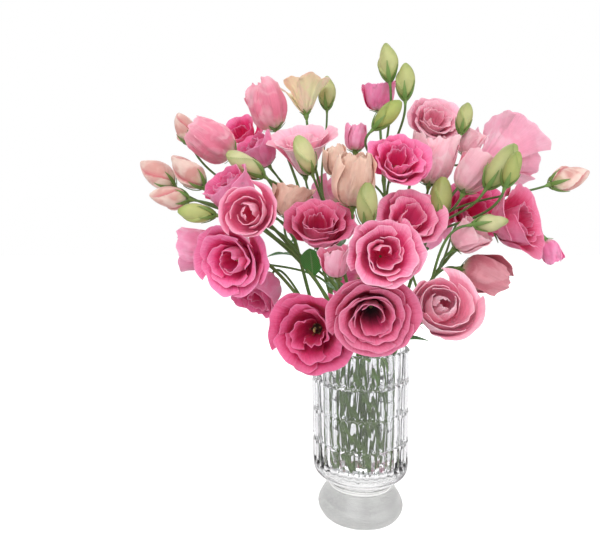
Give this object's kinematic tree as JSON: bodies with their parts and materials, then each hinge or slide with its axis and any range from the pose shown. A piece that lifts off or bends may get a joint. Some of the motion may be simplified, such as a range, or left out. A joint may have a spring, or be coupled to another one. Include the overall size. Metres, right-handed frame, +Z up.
{
  "type": "vase of lisianthus flowers",
  "caption": "Footed pressed-glass vase of water holding branching stems of pink double lisianthus, with open blooms, half-open cups, closed buds and leaves.",
  "frame": {"origin": "centre of the flat underside of the vase's foot", "axes": "+Z up along the vase's axis, -Y towards the front of the bunch, +X to its right"},
  "size_m": [0.451, 0.2319, 0.465],
  "materials": {
    "glass": "clear pressed glass",
    "water": "clear water",
    "greenery": "satin green stems, sepals, buds and leaves",
    "petal_deep": "soft matte petal",
    "petal_rose": "soft matte petal",
    "petal_pale": "soft matte petal",
    "petal_cream": "soft matte petal"
  },
  "bodies": {
    "root": {"bloom_01": "petal_deep", "bloom_02": "petal_deep", "bloom_03": "petal_deep", "bloom_04": "petal_rose", "bloom_05": "petal_rose", "bloom_06": "petal_deep", "bloom_07": "petal_rose", "bloom_08": "petal_deep", "bloom_09": "petal_deep", "bloom_10": "petal_rose", "bloom_11": "petal_deep", "bloom_12": "petal_pale", "bloom_13": "petal_deep", "bloom_14": "petal_rose", "bloom_15": "petal_rose", "bloom_16": "petal_pale", "bloom_17": "petal_deep", "bloom_18": "petal_deep", "bloom_19": "petal_deep", "bloom_20": "petal_rose", "bloom_21": "petal_pale", "bloom_22": "petal_rose", "bloom_23": "petal_deep", "bloom_24": "petal_deep", "bloom_25": "petal_pale", "bloom_26": "petal_pale", "bloom_27": "petal_pale", "bloom_28": "petal_pale", "bloom_29": "petal_cream", "bloom_30": "petal_cream", "bloom_31": "petal_cream", "bloom_32": "petal_cream", "bloom_33": "petal_cream", "bloom_34": "petal_pale", "bloom_35": "petal_rose", "bloom_36": "petal_deep", "bloom_37": "petal_rose", "bloom_38": "petal_pale", "bud_01": "petal_cream", "bud_02": "petal_cream", "bud_03": "petal_cream", "bud_04": "petal_pale", "bud_05": "petal_cream", "stem_01": "greenery", "stem_02": "greenery", "stem_03": "greenery", "stem_04": "greenery", "stem_05": "greenery", "stem_06": "greenery", "stem_07": "greenery", "stem_08": "greenery", "stem_09": "greenery", "stem_10": "greenery", "stem_11": "greenery", "stem_12": "greenery", "stem_13": "greenery", "stem_14": "greenery", "stem_15": "greenery", "vase": "glass", "water": "water"}
  },
  "joints": []
}
